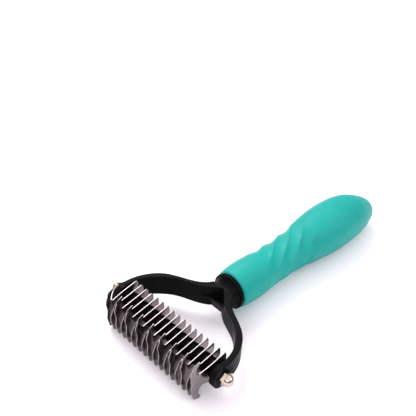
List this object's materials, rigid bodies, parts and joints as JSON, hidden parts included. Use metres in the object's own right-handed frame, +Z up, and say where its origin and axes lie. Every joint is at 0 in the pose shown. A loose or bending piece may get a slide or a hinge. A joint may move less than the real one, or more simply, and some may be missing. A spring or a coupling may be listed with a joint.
{
  "type": "undercoat rake",
  "caption": "Grooming rake: hooked steel blades and round spacers on a keyed rod between the arms of a black yoke, with a soft waisted grip.",
  "frame": {"origin": "middle of the bounding box's bottom face, on the surface that the rake lies on, as it lies on its lower teeth and the belly of its grip", "axes": "+X along the tie rod, +Y from the head to the butt of the grip, +Z up from the surface"},
  "size_m": [0.102, 0.209, 0.0337],
  "materials": {
    "stainless_steel": "stamped and tumbled stainless steel, satin faces and bright edges",
    "black_plastic": "turned-looking moulded black tube, semi gloss",
    "black_nylon": "moulded black glass-filled nylon, satin",
    "bar_steel": "bright drawn steel bar",
    "nickel_plate": "polished nickel plate, slightly warm",
    "core_plastic": "plain moulded polypropylene, hidden",
    "teal_rubber": "soft-touch thermoplastic rubber, fine matte skin"
  },
  "bodies": {
    "rake": {"blade_01": "stainless_steel", "blade_02": "stainless_steel", "blade_03": "stainless_steel", "blade_04": "stainless_steel", "blade_05": "stainless_steel", "blade_06": "stainless_steel", "blade_07": "stainless_steel", "blade_08": "stainless_steel", "blade_09": "stainless_steel", "blade_10": "stainless_steel", "blade_11": "stainless_steel", "blade_12": "stainless_steel", "blade_13": "stainless_steel", "blade_14": "stainless_steel", "blade_15": "stainless_steel", "blade_16": "stainless_steel", "blade_17": "stainless_steel", "spacer_01": "black_plastic", "spacer_02": "black_plastic", "spacer_03": "black_plastic", "spacer_04": "black_plastic", "spacer_05": "black_plastic", "spacer_06": "black_plastic", "spacer_07": "black_plastic", "spacer_08": "black_plastic", "spacer_09": "black_plastic", "spacer_10": "black_plastic", "spacer_11": "black_plastic", "spacer_12": "black_plastic", "spacer_13": "black_plastic", "spacer_14": "black_plastic", "spacer_15": "black_plastic", "spacer_16": "black_plastic", "end_spacer_left": "black_plastic", "end_spacer_right": "black_plastic", "yoke_frame": "black_nylon", "tie_rod": "bar_steel", "grip_core": "core_plastic", "grip_sleeve": "teal_rubber"},
    "cap_nut_left": {"cap_nut_left": "nickel_plate"},
    "cap_nut_right": {"cap_nut_right": "nickel_plate"}
  },
  "joints": [
    {"name": "cap_nut_left_unscrew", "type": "slide", "parent": "rake", "child": "cap_nut_left", "axis": [-1, 0, 0], "range_m": [0, 0.0056]},
    {"name": "cap_nut_right_unscrew", "type": "slide", "parent": "rake", "child": "cap_nut_right", "axis": [1, 0, 0], "range_m": [0, 0.0056]}
  ]
}
